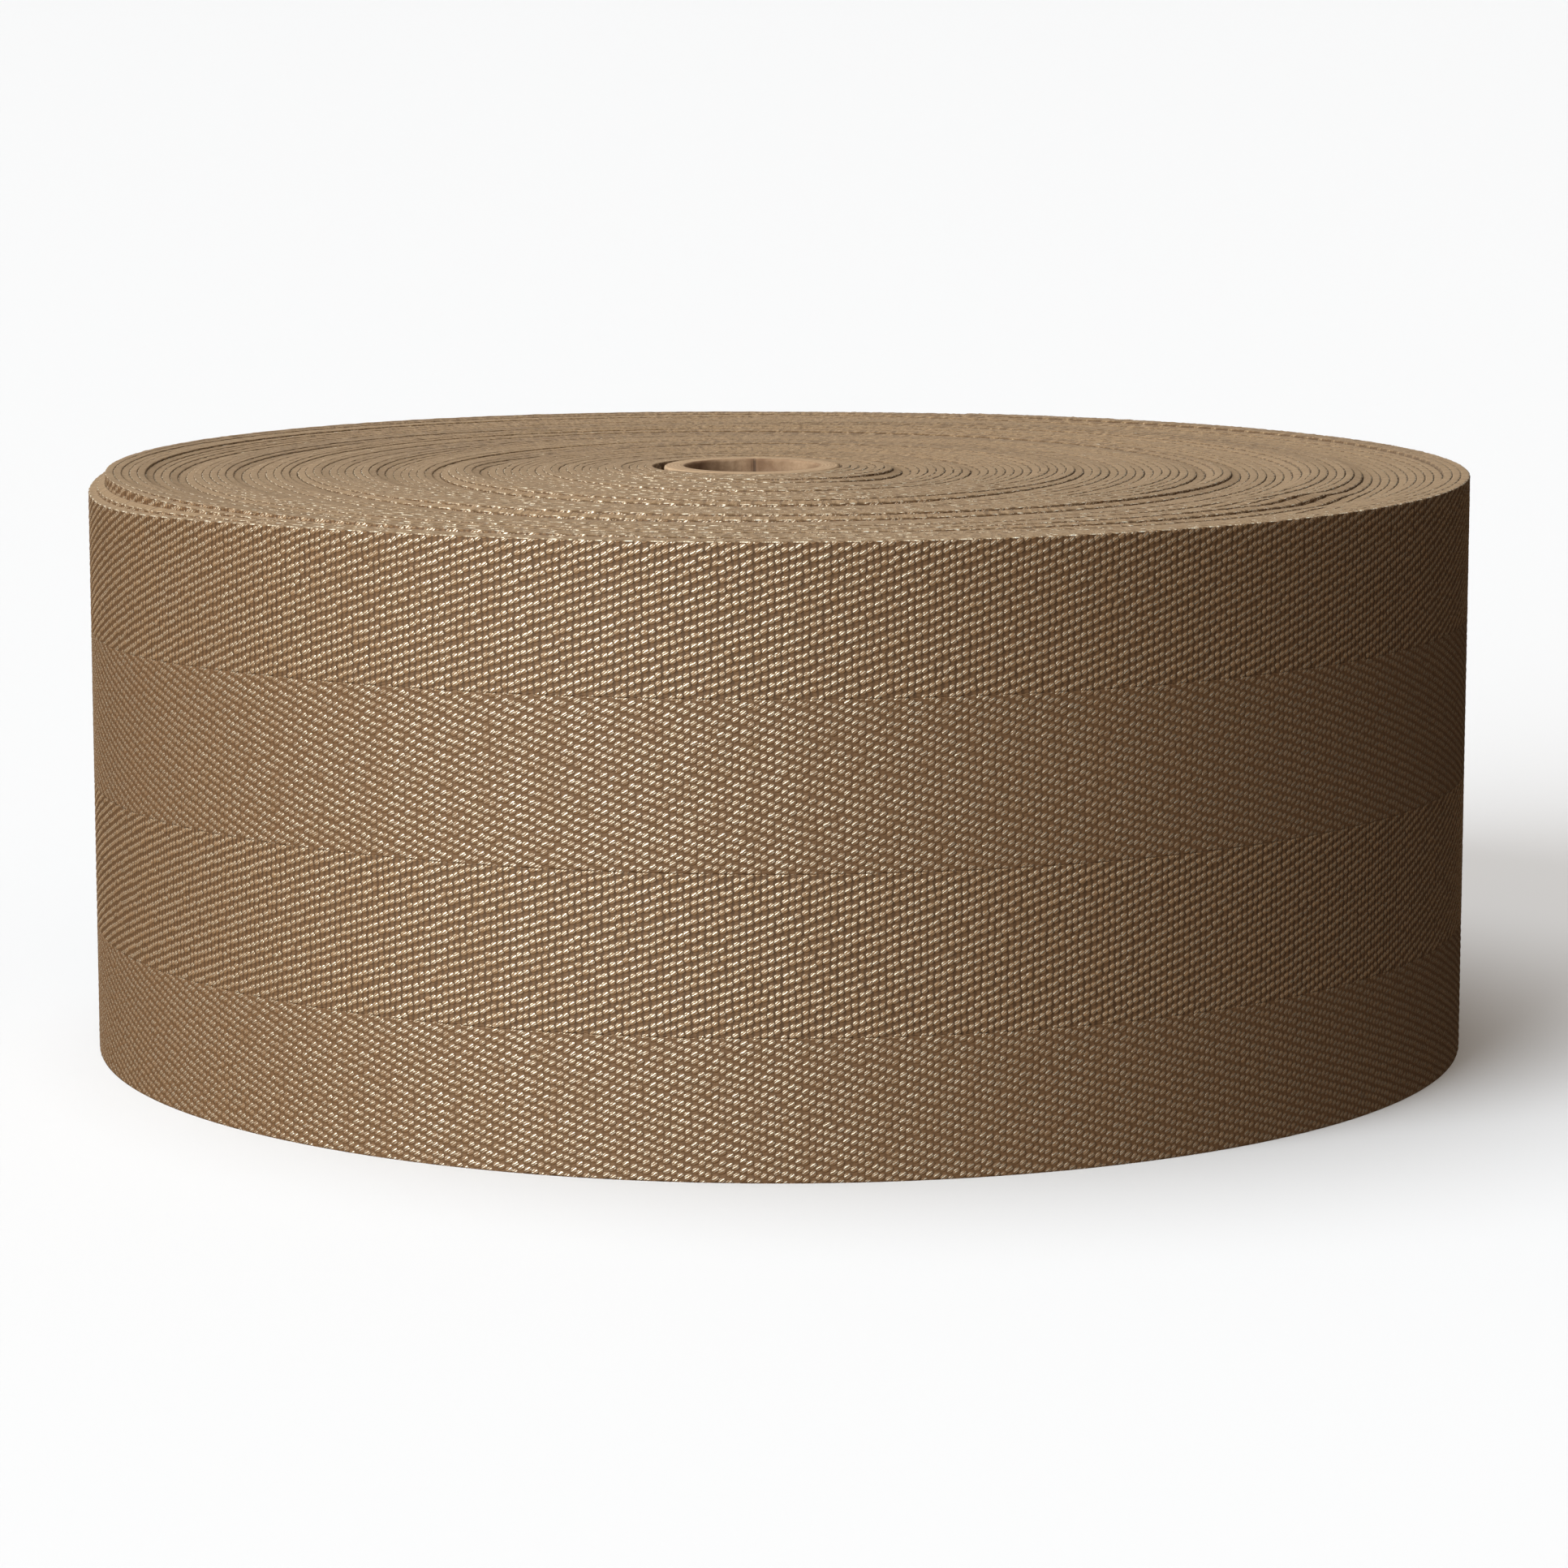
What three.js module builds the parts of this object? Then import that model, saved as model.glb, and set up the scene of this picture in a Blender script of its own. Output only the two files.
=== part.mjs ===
// A roll of carpet binding tape: woven tape wound in a flat spiral on a paperboard tube.
// Millimetres, +Z up. The roll lies on its side edge, and the origin is on the surface under the middle of the roll.
import * as THREE from 'three';

// Driving dimensions.
const ROLL_RADIUS = 84.5; // the outermost turn, at the tape's end
const TAPE_WIDTH = 70; // the height of the roll as it lies
const TAPE_THICKNESS = 1;
const CORE_RADIUS = 10.8;
const CORE_WALL = 2.6;
const CORE_PROUD = 0.4; // the tube stands this far above the tape
const CORE_CENTRE = new THREE.Vector2(-3.4, 1.5); // the tape is wound a little tighter on one side
const CORE_CHAMFER = 0.3;
const CORE_SIDES = 48;

// The tape's first turn fits the tube with the least gap on the right and a wider one on the left.
const FIT_GAP = 0.3;
const LOOSE_GAP = 1.5;

// The outer end of the tape lies flat at the back. Its edge is a step one thickness high.
const END_ANGLE = 72; // degrees, counted from +X towards +Y
const END_STEP = 0.8; // degrees that the step takes
const OUTER_CENTRE = new THREE.Vector2(-0.25, 0.25); // sets the spiral outline square over the origin
const STEPS_ROUND = 72;

const RIM_ROUND = 0.45; // how far the woven edge is rounded at the outermost turn
const CREASE_DEPTH = 0.9; // the dark creases between two groups of turns

// Groups of turns on the upper face, from the core outwards. Each ends at a share of the way from the hole to the rim.
// Its level is measured from the tape's width: a mean, a swing round the roll that is highest at an angle, and a dip
// where its turns have slipped down.
const GROUPS = [
  { end: 0.097, level: 0.3, swing: 0.1, highAt: 270, dip: 0, dipAt: 0 },
  { end: 0.214, level: 0.1, swing: 0.1, highAt: 200, dip: 0.3, dipAt: 330 },
  { end: 0.308, level: -0.1, swing: 0.1, highAt: 110, dip: 0.2, dipAt: 260 },
  { end: 0.385, level: 0.2, swing: 0.1, highAt: 300, dip: 0.4, dipAt: 140 },
  { end: 0.488, level: -0.1, swing: 0.2, highAt: 60, dip: 0.3, dipAt: 290 },
  { end: 0.584, level: 0.1, swing: 0.2, highAt: 240, dip: 0.3, dipAt: 80 },
  { end: 0.632, level: 0.3, swing: 0.2, highAt: 280, dip: 0.2, dipAt: 10 },
  { end: 0.733, level: -0.1, swing: 0.2, highAt: 150, dip: 0.3, dipAt: 245 },
  { end: 0.836, level: 0.2, swing: 0.2, highAt: 310, dip: 0.4, dipAt: 100 },
  { end: 0.895, level: 0, swing: 0.2, highAt: 215, dip: 0.5, dipAt: 320 },
  { end: 0.965, level: 0.2, swing: 0.3, highAt: 205, dip: 0.5, dipAt: 60 },
  { end: 1, level: 0.1, swing: 0.3, highAt: 305, dip: 1.7, dipAt: 196 },
];
const DIP_SPREAD = 26; // degrees from the middle of a dip to where it has mostly gone

// Where a group's flat crest begins and ends, as shares of its breadth.
const CREST_FROM = 0.2;
const CREST_TO = 0.8;

const radians = THREE.MathUtils.degToRad;

// Joins rows of points that run round the part into one closed body. Every row is a ring with the same number of
// points, and the rows go round the section: over the top outwards, down the outside, inwards below, up the hole.
function closedRing(rows) {
  const around = rows[0].length;
  const positions = rows.flat().flatMap((point) => point.toArray());
  const indices = [];
  rows.forEach((row, i) => {
    const next = (i + 1) % rows.length;
    for (let j = 0; j < around; j += 1) {
      const after = (j + 1) % around;
      const corners = [i * around + j, next * around + j, next * around + after, i * around + after];
      indices.push(corners[0], corners[1], corners[2], corners[0], corners[2], corners[3]);
    }
  });
  const geometry = new THREE.BufferGeometry();
  geometry.setAttribute('position', new THREE.Float32BufferAttribute(positions, 3));
  geometry.setIndex(indices);
  geometry.computeVertexNormals();
  return geometry;
}

// The angles of the columns of points: evenly round from the tape's end, then a narrow one that holds the step.
function columnAngles() {
  const angles = [];
  for (let i = 0; i < STEPS_ROUND; i += 1) {
    angles.push(END_ANGLE + (i * 360) / STEPS_ROUND);
  }
  angles.push(END_ANGLE + 360 - END_STEP);
  return angles;
}

// A ring of turns: share 0 is the hole and share 1 is the outermost turn, whose centres are the tube's and the
// roll's. The outermost turn alone winds outwards, by one thickness in the round that ends at the tape's end.
function turnPoint(share, angle, inset, height) {
  const holeRadius = (CORE_RADIUS + (FIT_GAP + LOOSE_GAP) / 2) / Math.cos(Math.PI / STEPS_ROUND);
  const holeCentre = new THREE.Vector2(CORE_CENTRE.x - (LOOSE_GAP - FIT_GAP) / 2, CORE_CENTRE.y);
  const centre = new THREE.Vector2().lerpVectors(holeCentre, OUTER_CENTRE, share);
  const unwound = share === 1 ? TAPE_THICKNESS * (1 - (angle - END_ANGLE) / 360) : 0;
  const radius = THREE.MathUtils.lerp(holeRadius, ROLL_RADIUS, share) - unwound - inset;
  const turn = radians(angle);
  return new THREE.Vector3(centre.x + radius * Math.cos(turn), centre.y + radius * Math.sin(turn), height);
}

// The height of a group's crest at an angle round the roll.
function groupHeight(group, angle) {
  const swing = group.swing * Math.cos(radians(angle - group.highAt));
  const fromDip = Math.abs(THREE.MathUtils.euclideanModulo(angle - group.dipAt + 180, 360) - 180);
  const dip = group.dip * Math.exp(-((fromDip / DIP_SPREAD) ** 2));
  return TAPE_WIDTH + group.level + swing - dip;
}

// The roll itself, one solid: rings of turns with creases between them on top, a rounded rim and a flat underside.
function woundTape() {
  const angles = columnAngles();
  const row = (share, inset, heightAt) => angles.map((angle) => turnPoint(share, angle, inset, heightAt(angle)));
  const rows = [];
  GROUPS.forEach((group, i) => {
    const start = i === 0 ? 0 : GROUPS[i - 1].end;
    const inner = GROUPS[Math.max(i - 1, 0)];
    const breadth = group.end - start;
    const crest = (angle) => groupHeight(group, angle);
    const crease = (angle) => Math.min(groupHeight(inner, angle), crest(angle)) - CREASE_DEPTH;
    rows.push(row(start, 0, crease));
    rows.push(row(start + CREST_FROM * breadth, 0, crest));
    if (i < GROUPS.length - 1) {
      rows.push(row(start + CREST_TO * breadth, 0, crest));
    }
  });
  const rim = GROUPS[GROUPS.length - 1];
  rows.push(row(1, RIM_ROUND, (angle) => groupHeight(rim, angle)));
  rows.push(row(1, 0, (angle) => groupHeight(rim, angle) - RIM_ROUND));
  rows.push(row(1, 0, () => RIM_ROUND));
  rows.push(row(1, RIM_ROUND, () => 0));
  rows.push(row(0, 0, () => 0));
  return closedRing(rows);
}

// The paperboard tube, turned as one closed section with its edges slightly broken.
function coreTube() {
  const inner = CORE_RADIUS - CORE_WALL;
  const top = TAPE_WIDTH + CORE_PROUD;
  const section = [
    [inner, CORE_CHAMFER],
    [inner + CORE_CHAMFER, 0],
    [CORE_RADIUS - CORE_CHAMFER, 0],
    [CORE_RADIUS, CORE_CHAMFER],
    [CORE_RADIUS, top - CORE_CHAMFER],
    [CORE_RADIUS - CORE_CHAMFER, top],
    [inner + CORE_CHAMFER, top],
    [inner, top - CORE_CHAMFER],
    [inner, CORE_CHAMFER],
  ].map(([radius, height]) => new THREE.Vector2(radius, height));
  const geometry = new THREE.LatheGeometry(section, CORE_SIDES);
  geometry.rotateX(Math.PI / 2);
  return geometry;
}

const cloth = new THREE.MeshStandardMaterial({ color: 0x8c7150, roughness: 0.85, metalness: 0 });
const paperboard = new THREE.MeshStandardMaterial({ color: 0xb89e7d, roughness: 0.9, metalness: 0 });

const roll = new THREE.Group();

const tape = new THREE.Mesh(woundTape(), cloth);
tape.name = 'wound_tape';
roll.add(tape);

const core = new THREE.Mesh(coreTube(), paperboard);
core.name = 'core_tube';
core.position.set(CORE_CENTRE.x, CORE_CENTRE.y, 0);
roll.add(core);

export default roll;
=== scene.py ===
# A roll of carpet binding tape: woven herringbone twill tape, wound flat on a paperboard tube and lying
# on its side. Metres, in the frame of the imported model: +Z up, and the viewer looks along +Y.
import math
import bpy
import numpy as np
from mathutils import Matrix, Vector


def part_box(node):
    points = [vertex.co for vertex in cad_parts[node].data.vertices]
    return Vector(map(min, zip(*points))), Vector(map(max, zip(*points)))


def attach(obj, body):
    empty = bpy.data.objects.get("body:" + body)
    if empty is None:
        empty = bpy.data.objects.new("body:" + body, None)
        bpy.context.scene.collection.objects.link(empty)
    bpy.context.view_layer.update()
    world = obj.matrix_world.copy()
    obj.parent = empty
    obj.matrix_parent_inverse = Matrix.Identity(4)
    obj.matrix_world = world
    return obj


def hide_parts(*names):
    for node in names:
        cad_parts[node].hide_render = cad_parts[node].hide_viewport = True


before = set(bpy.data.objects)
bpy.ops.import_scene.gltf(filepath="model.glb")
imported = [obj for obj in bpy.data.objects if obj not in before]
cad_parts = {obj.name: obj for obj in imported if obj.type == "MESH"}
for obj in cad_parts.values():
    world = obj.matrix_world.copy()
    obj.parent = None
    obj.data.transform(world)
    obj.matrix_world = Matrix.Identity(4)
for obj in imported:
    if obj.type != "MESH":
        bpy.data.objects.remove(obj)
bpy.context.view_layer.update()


# The tube that the tape is wound on. A short length of plain paperboard tube, rolled from glued layers of
# brown paper, with an upright butt seam in the inner layer and slightly soft cut rims. It replaces the
# plain solid.
MM = 0.001
TUBE_WALL = 2.6 * MM
TUBE_RIM_ROUND = 0.35 * MM
TUBE_RIM_POINTS = 5
TUBE_SIDES = 180
TUBE_SEAM_ANGLE = 88
TUBE_SEAM_DEPTH = 0.3 * MM
TUBE_LAYER = 0.42 * MM
TUBE_UNEVEN = 0.02 * MM
TUBE_SEED = 3
tube_low, tube_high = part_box("core_tube")
TUBE_CENTRE = np.array([(tube_low[0] + tube_high[0]) / 2, (tube_low[1] + tube_high[1]) / 2])
TUBE_RADIUS = (tube_high[0] - tube_low[0]) / 2
BORE_RADIUS = TUBE_RADIUS - TUBE_WALL
TUBE_TOP = tube_high[2]


def closed_strip(name, points, uv, ring=False, lean=1, edge_from=None):
    """A closed body from sections along a path: points[step, corner], and uv[step, corner + 1] to unwrap
    each section. With ring the last section meets the first, and otherwise flat caps close both ends.
    Faces from the corner edge_from onwards take the second material."""
    steps, corners = points.shape[:2]
    i, k = np.meshgrid(np.arange(steps if ring else steps - 1), np.arange(corners), indexing="ij")
    after = (i + 1) % steps
    quad = [(i, k), (after, k), (after, k + 1), (i, k + 1)]
    if lean < 0:
        quad = quad[1:] + quad[:1]
    faces = np.stack([a * corners + b % corners for a, b in quad], axis=-1).reshape(-1, 4)
    unwrapped = np.stack([uv[a, b] for a, b in quad], axis=-2).reshape(-1, 2)
    sections = faces.tolist()
    if not ring:
        first = np.arange(corners)
        last = first[::-1] + (steps - 1) * corners
        sections += [first.tolist(), last.tolist()]
        unwrapped = np.concatenate([unwrapped, uv[0, :corners], uv[-1, corners - 1::-1]])
    mesh = bpy.data.meshes.new(name)
    mesh.from_pydata(points.reshape(-1, 3), [], sections)
    mesh.uv_layers.new(name="weave").data.foreach_set("uv", unwrapped.astype(np.float32).ravel())
    mesh.polygons.foreach_set("use_smooth", np.ones(len(sections), dtype=bool))
    if edge_from is not None:
        second = np.zeros(len(sections), dtype=np.int32)
        second[:len(faces)] = (k >= edge_from).ravel()
        mesh.polygons.foreach_set("material_index", second)
    mesh.update()
    piece = bpy.data.objects.new(name, mesh)
    bpy.context.scene.collection.objects.link(piece)
    return piece


class Surface:
    """A material under work: its shader, and short calls that add one node each and give back its output."""

    def __init__(self, name):
        self.material = bpy.data.materials.new(name)
        self.material.use_nodes = True
        self.tree = self.material.node_tree
        self.shader = self.tree.nodes["Principled BSDF"]

    def node(self, kind, inputs=(), output=0, **settings):
        made = self.tree.nodes.new(kind)
        for key, value in settings.items():
            setattr(made, key, value)
        for key, value in dict(inputs).items():
            if isinstance(value, bpy.types.NodeSocket):
                self.tree.links.new(value, made.inputs[key])
            else:
                made.inputs[key].default_value = value
        return made.outputs[output]

    def math(self, operation, *values):
        return self.node("ShaderNodeMath", enumerate(values), operation=operation)

    def plus(self, a, b):
        return self.math("ADD", a, b)

    def minus(self, a, b):
        return self.math("SUBTRACT", a, b)

    def times(self, a, b):
        return self.math("MULTIPLY", a, b)

    def blend(self, share, low, high):
        return self.node("ShaderNodeMix", {0: share, 6: low, 7: high}, output=2, data_type="RGBA")

    def noise(self, where, scale, detail, roughness):
        inputs = {"Vector": where, "Scale": scale, "Detail": detail, "Roughness": roughness}
        return self.node("ShaderNodeTexNoise", inputs)

    def spread(self, value, low, high, to_low=0.0, to_high=1.0):
        inputs = {0: value, 1: low, 2: high, 3: to_low, 4: to_high}
        return self.node("ShaderNodeMapRange", inputs)

    def bump(self, height, depth, strength):
        inputs = {"Height": height, "Distance": depth, "Strength": strength}
        return self.node("ShaderNodeBump", inputs)

    def finish(self, colour, normal, roughness):
        self.tree.links.new(colour, self.shader.inputs["Base Color"])
        self.tree.links.new(normal, self.shader.inputs["Normal"])
        self.tree.links.new(roughness, self.shader.inputs["Roughness"])
        return self.material


def colour(red, green, blue):
    """A colour as seen on a screen, 0 to 255, turned into the linear values that a shader takes."""
    shares = [value / 255 for value in (red, green, blue)]
    return [s / 12.92 if s <= 0.04045 else ((s + 0.055) / 1.055) ** 2.4 for s in shares] + [1.0]


PAPER_LIGHT = colour(184, 161, 131)
PAPER_MID = colour(158, 133, 103)
PAPER_BROWN_AND_BORE_SHADE = colour(110, 83, 59)
PAPER_DARK = colour(62, 44, 30)
# Noise sizes here and below are in cells a metre.
PAPER_FIBRES = 1600
PAPER_MOTTLE = 260
PAPER_GRAIN = 0.12 * MM
# The bore is painted darker and mottled, as painted shade inside it; this painted shade reaches this far over
# the rim, and is gone at the second distance.
BORE_SHADE_FULL = 0.2 * MM
BORE_SHADE_GONE = 0.5 * MM
# The seam's dark line is full up to the first distance from the seam and gone at the second.
SEAM_DARK = 0.1 * MM
SEAM_GONE = 0.2 * MM


def paperboard():
    s = Surface("paperboard")
    place = s.node("ShaderNodeTexCoord", output="Object")
    from_axis = s.node("ShaderNodeVectorMath", {0: place, 1: (*TUBE_CENTRE, 0)}, operation="SUBTRACT")
    parts = s.tree.nodes.new("ShaderNodeSeparateXYZ")
    s.tree.links.new(from_axis, parts.inputs[0])
    squares = s.plus(s.math("POWER", parts.outputs[0], 2), s.math("POWER", parts.outputs[1], 2))
    across = s.math("SQRT", squares)
    fibre = s.noise(place, PAPER_FIBRES, 6, 0.7)
    mottle = s.noise(place, PAPER_MOTTLE, 4, 0.6)
    layers = s.math("SINE", s.plus(s.times(across, math.tau / TUBE_LAYER), s.times(mottle, 3)))
    on_rim = s.spread(across, BORE_RADIUS + BORE_SHADE_FULL, BORE_RADIUS + BORE_SHADE_GONE)
    plain = s.blend(s.spread(fibre, 0.3, 0.7), PAPER_MID, PAPER_LIGHT)
    ringed = s.blend(s.spread(layers, -1, 1, 0, 0.25), plain, PAPER_BROWN_AND_BORE_SHADE)
    # Painted shade: the bore's wall is painted a mottled darker brown.
    painted_bore_shade = s.blend(s.spread(mottle, 0.35, 0.7, 0.45, 1.0), plain, PAPER_BROWN_AND_BORE_SHADE)
    tone = s.blend(on_rim, painted_bore_shade, ringed)
    seam_at = BORE_RADIUS * math.cos(math.radians(TUBE_SEAM_ANGLE))
    off_seam = s.math("ABSOLUTE", s.minus(parts.outputs[0], seam_at))
    seam = s.times(s.spread(off_seam, SEAM_GONE, SEAM_DARK), s.minus(1, on_rim))
    seam = s.times(seam, s.math("GREATER_THAN", parts.outputs[1], 0))
    tone = s.blend(s.times(seam, 0.8), tone, PAPER_DARK)
    grain = s.bump(s.plus(fibre, s.times(layers, 0.15)), PAPER_GRAIN, 0.7)
    return s.finish(tone, grain, s.spread(fibre, 0.3, 0.7, 0.95, 0.8))


def tube_section():
    """Radius and height of the tube's closed outline, with a quarter round at each rim."""
    bend = TUBE_RIM_ROUND
    corners = [
        (TUBE_RADIUS - bend, bend, -90),
        (TUBE_RADIUS - bend, TUBE_TOP - bend, 0),
        (BORE_RADIUS + bend, TUBE_TOP - bend, 90),
        (BORE_RADIUS + bend, bend, 180),
    ]
    outline = []
    for radius, height, start in corners:
        for turn in np.radians(start + np.linspace(0, 90, TUBE_RIM_POINTS)):
            outline.append((radius + bend * math.cos(turn), height + bend * math.sin(turn)))
    return np.array(outline)


def paperboard_tube():
    section = tube_section()
    angles = np.linspace(0, 360, TUBE_SIDES, endpoint=False)
    rough = np.random.default_rng(TUBE_SEED)
    points = np.zeros((TUBE_SIDES, len(section), 3))
    uv = np.zeros((TUBE_SIDES, len(section) + 1, 2))
    for i, angle in enumerate(angles):
        radius = section[:, 0].copy()
        bore = radius < BORE_RADIUS + TUBE_RIM_ROUND
        if abs(angle - TUBE_SEAM_ANGLE) < 180 / TUBE_SIDES:
            radius[bore] += TUBE_SEAM_DEPTH
        radius += rough.normal(0, TUBE_UNEVEN, len(radius))
        turn = math.radians(angle)
        points[i, :, 0] = TUBE_CENTRE[0] + radius * math.cos(turn)
        points[i, :, 1] = TUBE_CENTRE[1] + radius * math.sin(turn)
        points[i, :, 2] = section[:, 1]
        uv[i, :, 0] = i
        uv[i, :, 1] = np.arange(len(section) + 1)
    return closed_strip("paperboard_tube", points, uv, ring=True)


tube = paperboard_tube()
tube.data.materials.append(paperboard())
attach(tube, "root")
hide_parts("core_tube")


# The wound tape. One long tape with a rounded woven edge lies in about 72 turns, each a little higher or
# lower than the next. Here and there a group of turns has parted from the next one and leaves a dark crease.
TAPE_WIDTH = 70 * MM
ROLL_RADIUS = 84.5 * MM
START_RADIUS = 11.0 * MM
START_SLACK = 1 * MM
TURNS = 71.6
TURN_FILL = 0.99
END_ANGLE = 72
# The roll isn't quite even: the turns near the tube and the outer ones have centres a little apart.
HOLE_CENTRE = np.array([TUBE_CENTRE[0] - 0.3 * MM, TUBE_CENTRE[1]])
OUTER_CENTRE = np.array([-0.25 * MM, 0.25 * MM])
# The weave: picks are counted along the tape and ridges of the twill across it. From pick to pick the
# floats step by a quarter of a ridge, so the pattern comes again after four picks.
PICKS_ROUND = 696
PICK = math.tau * (ROLL_RADIUS - 0.5 * MM) / PICKS_ROUND
RIDGE = 1.0 * MM
REPEAT = 4

# Groups of turns, from the tube outwards: where each ends as a share of the way to the rim, and in
# millimetres its mean level, its swing round the roll, and a dip where its turns have slipped down. Angles
# are in degrees. The last figure is the number of turns on each side over which it levels out with the
# group before it.
GROUPS = np.array(
    [
        (0.097, 0.3, 0.1, 270, 0.0, 0, 1.5),
        (0.214, 0.1, 0.1, 200, 0.3, 330, 1.5),
        (0.308, -0.1, 0.1, 110, 0.2, 260, 1.5),
        (0.385, 0.2, 0.1, 300, 0.4, 140, 1.5),
        (0.488, -0.1, 0.2, 60, 0.3, 290, 1.0),
        (0.584, 0.1, 0.2, 240, 0.3, 80, 1.5),
        (0.632, 0.3, 0.2, 280, 0.2, 10, 1.5),
        (0.733, -0.1, 0.2, 150, 0.3, 245, 1.0),
        (0.836, 0.2, 0.2, 310, 0.4, 100, 1.5),
        (0.895, 0.0, 0.2, 215, 0.5, 320, 1.5),
        (0.9635, 0.25, 0.4, 205, 0.2, 60, 1.0),
        (1.0, 0.1, 0.3, 305, 1.7, 196, 0.05),
    ],
    dtype=[(n, float) for n in ("end", "level", "swing", "high_at", "dip", "dip_at", "soft")],
)
DIP_SPREAD = 26
# The last turns stand a little lower one after the other where they dip, below the lip of those inside them.
RIM_FALL_FROM = 68.9
RIM_FALL_TURNS = 2.0
CREASE_GAP = 0.08 * MM
CREASE_DEPTH = 0.42 * MM
CREASE_BREADTH = 1.3
CREASE_OPENS_OVER = 0.6
# Fainter creases inside the groups, as shares of the way from the tube to the rim.
FAINT_CREASES = (0.045, 0.133, 0.17, 0.259, 0.345, 0.437, 0.458, 0.541, 0.695, 0.79, 0.862, 0.93)
FAINT_GAP = 0.03 * MM
FAINT_DEPTH = 0.2 * MM
# Two low ripples where turns were pushed over each other: first and last angle, and first and last radius
# in millimetres. Each has a shallow trough beside it, further out.
RIPPLES = [(317, 339, 67.8, 73.6), (311, 325, 74.8, 78.7)]
RIPPLE_HEIGHT = 0.25 * MM
TROUGH_SHARE = 0.6
TROUGH_OFFSET = 2
# The tape's own slow rise and fall: knots a turn, amount and seed.
DRIFTS = [(2.3, 0.014 * MM, 11), (0.8, 0.02 * MM, 12)]


def ease(x):
    """0 below -1 and 1 above 1, with a soft step between."""
    t = np.clip((x + 1) / 2, 0, 1)
    return t * t * (3 - 2 * t)


def crease_turns():
    """The creases: the turn, the gap, and how deep the turns beside it have sunk. At the lip they haven't."""
    ends = GROUPS["end"][:-1]
    sunk = [CREASE_DEPTH] * (len(ends) - 1) + [0.0]
    strong = [(end * TURNS, CREASE_GAP, depth) for end, depth in zip(ends, sunk)]
    faint = [(share * TURNS, FAINT_GAP, FAINT_DEPTH) for share in FAINT_CREASES]
    return strong + faint


ALL_GAPS = sum(gap for _, gap, _ in crease_turns())
TURN_PITCH = (ROLL_RADIUS - START_RADIUS - START_SLACK - ALL_GAPS) / TURNS
TURN_THICKNESS = TURN_FILL * TURN_PITCH


def turn_angle(turn):
    return np.radians(END_ANGLE + 360 * (turn - TURNS))


def outer_face(turn):
    """Plan position of the tape's outer face at a turn counted from the tape's inner end."""
    radius = ROLL_RADIUS - TURN_PITCH * (TURNS - turn)
    for at, gap, _ in crease_turns():
        radius = radius - gap * (1 - ease((turn - at) / CREASE_OPENS_OVER))
    share = np.clip(turn / TURNS, 0, 1)[..., None]
    centre = HOLE_CENTRE * (1 - share) + OUTER_CENTRE * share
    angle = turn_angle(turn)
    outward = np.stack([np.cos(angle), np.sin(angle)], axis=-1)
    return centre + radius[..., None] * outward, outward


def drift(turn, knots_a_turn, amount, seed):
    """A slow random drift along the tape, the same on each run."""
    count = int(TURNS * knots_a_turn) + 4
    values = np.random.default_rng(seed).normal(0, amount, count)
    where = np.clip(turn, 0, None) * knots_a_turn
    low = np.floor(where).astype(int)
    part = ease(2 * (where - low) - 1)
    return values[low] * (1 - part) + values[low + 1] * part


def top_height(turn, across=0.0):
    """Height of the tape's upper edge: its group's level, its own drift, and lower beside a crease. Across
    its thickness, counted in turns from the middle, the edge follows the slope of its group a little."""
    angle = np.degrees(turn_angle(turn))
    drifted = sum(drift(turn, *values) for values in DRIFTS)
    middle = turn
    turn = turn + across
    share = turn / TURNS
    before = None
    for group in GROUPS:
        apart = np.abs((angle - group["dip_at"] + 180) % 360 - 180)
        own = group["level"] + group["swing"] * np.cos(np.radians(angle - group["high_at"]))
        dip = group["dip"] * np.exp(-((apart / DIP_SPREAD) ** 2))
        if group["end"] == 1:
            dip = dip * np.clip((turn - RIM_FALL_FROM) / RIM_FALL_TURNS, 0, 1)
        own = own - dip
        if before is None:
            level = own
        else:
            from_here = middle if group["soft"] < 0.5 else turn
            level = level + (own - before) * ease((from_here - last_end * TURNS) / group["soft"])
        before, last_end = own, group["end"]
    height = TAPE_WIDTH + level * MM
    # A crease is deeper in some places than in others round the roll, each crease at angles of its own.
    for number, (at, _, sunk) in enumerate(crease_turns()):
        twice_round = np.cos(np.radians(angle * 2 - 137 * number)) * 0.5
        come_and_go = twice_round + np.cos(np.radians(angle - 71 * number))
        depth = sunk * (0.7 + 0.4 * come_and_go)
        height = height - depth * np.exp(-(((turn - at) / CREASE_BREADTH) ** 2))
    radius = (START_RADIUS + (ROLL_RADIUS - START_RADIUS) * share) / MM
    for first_angle, last_angle, first_radius, last_radius in RIPPLES:
        part = (angle % 360 - first_angle) / (last_angle - first_angle)
        off = radius - first_radius - (last_radius - first_radius) * part
        strength = RIPPLE_HEIGHT * ease(4 * part) * ease(4 - 4 * part)
        trough = TROUGH_SHARE * np.exp(-((off - TROUGH_OFFSET) ** 2))
        height = height + strength * (np.exp(-(off**2)) - trough)
    return height + drifted


EDGE_STEPS_A_RIDGE = 3
EDGE_STEP = REPEAT * PICK / EDGE_STEPS_A_RIDGE
# The upper edge's section, from the outer face to the inner: share of the thickness, and depth below the
# crown.
EDGE_SECTION = [
    (1.0, 0.035 * MM),
    (0.91, 0.004 * MM),
    (0.8, 0.0),
    (0.2, 0.0),
    (0.09, 0.004 * MM),
    (0.0, 0.035 * MM),
]
# How much of its group's slope the edge takes across its own thickness.
EDGE_SLANT = 0.55
EDGE_UNEVEN_SIDE = 0.015 * MM
EDGE_UNEVEN_HEIGHT = 0.018 * MM
# Where a groove of the twill reaches the edge, the edge's outer corner has a notch. The inner corner has
# them too, and more clearly in some turns than in others.
NOTCH_INSET = 0.1 * MM
NOTCH_DEPTH = 0.2 * MM
OUTER_NOTCHES = (0.3, 1.4)
INNER_NOTCHES = (0.4, 1.4)
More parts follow.
